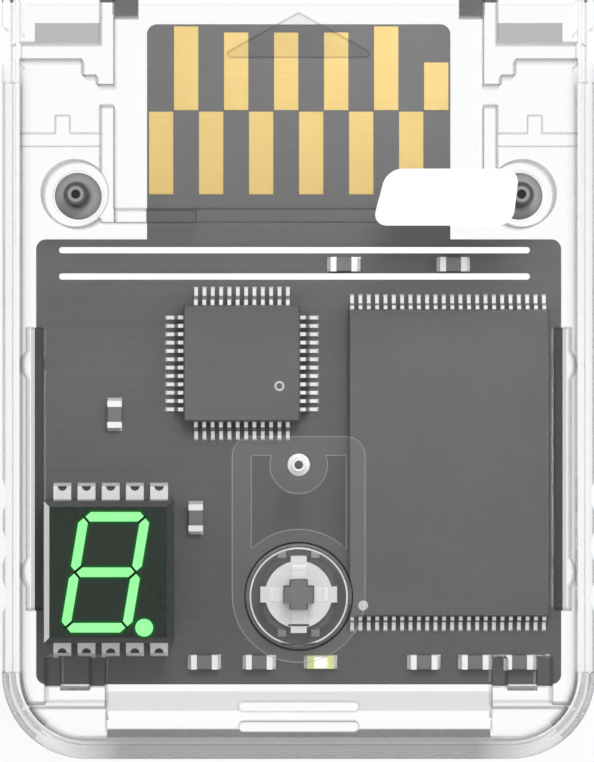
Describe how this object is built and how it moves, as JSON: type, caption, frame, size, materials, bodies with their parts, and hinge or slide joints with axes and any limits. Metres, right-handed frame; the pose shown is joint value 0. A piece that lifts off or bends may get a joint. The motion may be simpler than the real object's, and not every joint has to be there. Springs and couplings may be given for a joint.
{
  "type": "console memory card",
  "caption": "Clear plastic memory card for a game console, with an edge connector, a one-digit display and a press button that pages through it.",
  "frame": {"origin": "middle of the card's footprint on the table, on its rear face", "axes": "+Z out of the front face, +Y towards the connector end, +X to the right when the front is seen with the connector up"},
  "size_m": [0.035, 0.045, 0.0076],
  "materials": {
    "clear_case": "clear, polished",
    "clear_button": "clear, polished",
    "rivet_metal": "bright",
    "screw_metal": "blackened steel",
    "board": "dark grey solder mask, satin",
    "gold": "gold plated",
    "chip_resin": "moulded resin, fine grain",
    "tinned_leads": "tinned",
    "display_body": "dark grey, satin",
    "display_light": "milky green",
    "display_pins": "tinned",
    "switch_body": "moulded",
    "switch_key": "moulded",
    "switch_steel": "bright",
    "chip_ceramic": "ceramic",
    "lamp_lens": "milky"
  },
  "bodies": {
    "card": {"front_shell": "clear_case", "rear_shell": "clear_case", "button_rivet": "rivet_metal", "case_screws": "screw_metal", "circuit_board": "board", "edge_contacts": "gold", "controller_chip": "chip_resin", "flash_chip": "chip_resin", "controller_leads": "tinned_leads", "flash_leads": "tinned_leads", "switch_terminals": "tinned_leads", "resistor_caps": "tinned_leads", "led_caps": "tinned_leads", "display_housing": "display_body", "display_segments": "display_light", "display_terminals": "display_pins", "switch_base": "switch_body", "switch_cover": "switch_steel", "switch_dome": "switch_steel", "chip_resistors": "chip_ceramic", "status_led": "lamp_lens"},
    "button": {"page_button": "clear_button"},
    "plunger": {"switch_plunger": "switch_key"}
  },
  "joints": [
    {"name": "page_button_press", "type": "hinge", "parent": "card", "child": "button", "pos_m": [0, -0.00347, 0.00635], "axis": [1, 0, 0], "range_deg": [0, 1.4], "stiffness_Nm_per_rad": 0.44},
    {"name": "switch_plunger_press", "type": "slide", "parent": "card", "child": "plunger", "axis": [0, 0, -1], "range_m": [0, 0.00025], "stiffness_N_per_m": 0.1, "springref_m": -0.00095, "deforming": ["switch_dome"]}
  ],
  "couplings": [
    {"joint": "page_button_press", "follows": "switch_plunger_press", "rad_per_m": 97}
  ]
}
